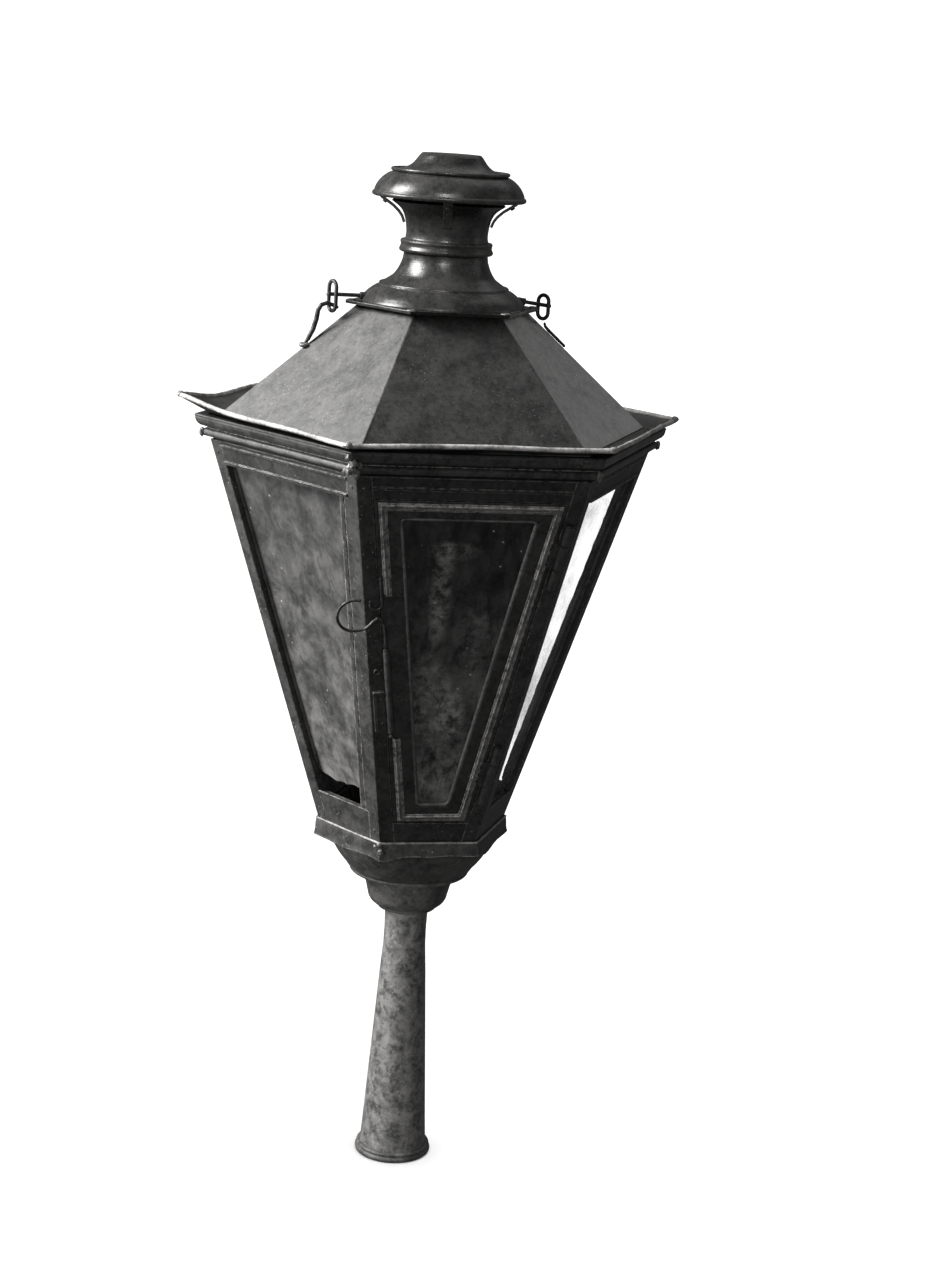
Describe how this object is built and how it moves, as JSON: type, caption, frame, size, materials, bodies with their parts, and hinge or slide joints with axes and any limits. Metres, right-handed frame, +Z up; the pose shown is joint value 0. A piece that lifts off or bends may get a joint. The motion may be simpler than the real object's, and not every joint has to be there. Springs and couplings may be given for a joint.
{
  "type": "street lamp post",
  "caption": "Hexagonal post-top gas lantern on a conical socket stem, with a hinged latched door, flared rim, pitched sheet roof and vented chimney cap.",
  "frame": {"origin": "centre of the foot's socket mouth, on the plane of the foot", "axes": "+Z up along the stem, -Y out through the door, +X towards the door's hinge side"},
  "size_m": [0.52, 0.4504, 1.0794],
  "materials": {
    "stem_iron": "weathered paint over iron",
    "frame_metal": "dark weathered paint",
    "cornice_metal": "worn paint, bright edges",
    "roof_sheet": "weathered sheet",
    "spun_metal": "satin, weathered",
    "clear_glass": "dusty",
    "soiled_glass": "heavily soiled",
    "fitting_metal": "dark, worn",
    "wire_steel": "dull wire",
    "gas_brass": "tarnished",
    "tip_ceramic": "matt"
  },
  "bodies": {
    "lantern": {"stem_tube": "stem_iron", "foot_ring": "stem_iron", "stem_collar": "stem_iron", "lower_cup": "stem_iron", "ledge_ring": "stem_iron", "upper_bowl": "stem_iron", "base_flange": "stem_iron", "corner_post_1": "frame_metal", "corner_post_2": "frame_metal", "corner_post_3": "frame_metal", "corner_post_4": "frame_metal", "corner_post_5": "frame_metal", "corner_post_6": "frame_metal", "bottom_rails": "frame_metal", "door_sill": "frame_metal", "frieze_rails": "frame_metal", "door_header": "frame_metal", "door_stops": "frame_metal", "pane_right_front": "clear_glass", "pane_right_back": "clear_glass", "pane_back": "clear_glass", "pane_left_back": "clear_glass", "pane_left_front": "soiled_glass", "cornice_lower": "cornice_metal", "cornice_upper": "cornice_metal", "rim_gutter": "cornice_metal", "roof_panels": "roof_sheet", "chimney_plate": "spun_metal", "chimney_dome": "spun_metal", "neck_ring": "spun_metal", "chimney_trumpet": "spun_metal", "cap_straps": "spun_metal", "cap_rivets": "spun_metal", "cap_dome": "spun_metal", "cap_crown": "spun_metal", "hinge_leaf_upper": "fitting_metal", "hinge_leaf_lower": "fitting_metal", "hinge_pins": "wire_steel", "keeper_eye": "wire_steel", "keeper_plate": "fitting_metal", "pin_lugs": "fitting_metal", "roof_hooks": "wire_steel", "supply_pipe": "gas_brass", "cock_body": "gas_brass", "burner_cup": "gas_brass", "burner_tips": "tip_ceramic"},
    "door": {"door_frame": "frame_metal", "door_bead": "frame_metal", "door_glass": "soiled_glass", "glass_tabs": "fitting_metal", "hinge_strap_upper": "fitting_metal", "hinge_strap_lower": "fitting_metal", "latch_tube": "fitting_metal", "keeper_clip": "wire_steel"},
    "latch": {"latch_wire": "wire_steel"},
    "cotter_left": {"cotter_left": "wire_steel"},
    "cotter_right": {"cotter_right": "wire_steel"},
    "link_left": {"link_left": "wire_steel"},
    "link_right": {"link_right": "wire_steel"},
    "cock_lever": {"cock_lever": "gas_brass"}
  },
  "joints": [
    {"name": "door_hinge", "type": "hinge", "parent": "lantern", "child": "door", "pos_m": [0.09378, -0.18284, 0.70666], "axis": [0.1535, -0.2658, 0.9517], "range_deg": [0, 105]},
    {"name": "latch_turn", "type": "hinge", "parent": "door", "child": "latch", "pos_m": [-0.06052, -0.13997, 0.55909], "axis": [-0.1535, -0.2658, 0.9517], "range_deg": [0, 95]},
    {"name": "cotter_left_pull", "type": "slide", "parent": "lantern", "child": "cotter_left", "axis": [-1, 0, 0], "range_m": [0, 0.03]},
    {"name": "cotter_right_pull", "type": "slide", "parent": "lantern", "child": "cotter_right", "axis": [0.9925, 0, -0.1219], "range_m": [0, 0.03]},
    {"name": "link_left_swing", "type": "hinge", "parent": "lantern", "child": "link_left", "pos_m": [-0.1135, 0, 0.935], "axis": [1, 0, 0], "range_deg": [-6, 6]},
    {"name": "link_right_swing", "type": "hinge", "parent": "lantern", "child": "link_right", "pos_m": [0.105, 0, 0.93334], "axis": [0.9925, 0, -0.1219], "range_deg": [-6, 6]},
    {"name": "cock_turn", "type": "hinge", "parent": "lantern", "child": "cock_lever", "pos_m": [0, 0, 0.415], "axis": [0, 1, 0], "range_deg": [-30, 30]}
  ]
}
